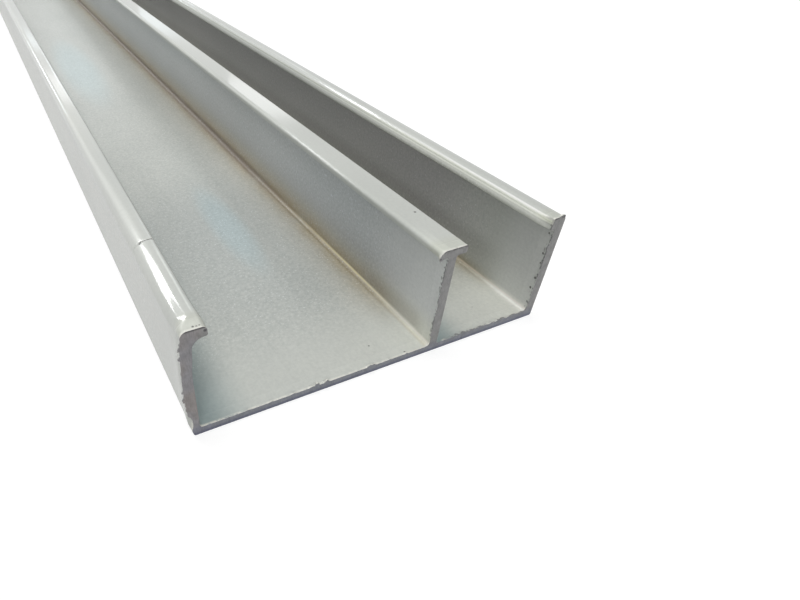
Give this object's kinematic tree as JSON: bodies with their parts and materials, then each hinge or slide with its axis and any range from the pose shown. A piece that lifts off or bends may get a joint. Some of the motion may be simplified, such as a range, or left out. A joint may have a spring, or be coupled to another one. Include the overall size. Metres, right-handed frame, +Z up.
{
  "type": "aluminium extrusion profile",
  "caption": "Straight aluminium extrusion with a wide and a narrow open channel, a hook lip, a tee cap and a beaded wall.",
  "frame": {"origin": "middle of the flat underside, half way along the length", "axes": "+X across the section from the hook-lip wall to the beaded wall, +Y along the length away from the end seen in the picture, +Z up out of the open channels"},
  "size_m": [0.064, 1, 0.02],
  "materials": {
    "coated_aluminium": "satin silver-grey coat with fine sparkle, bare sawn ends"
  },
  "bodies": {
    "root": {"extrusion": "coated_aluminium"}
  },
  "joints": []
}
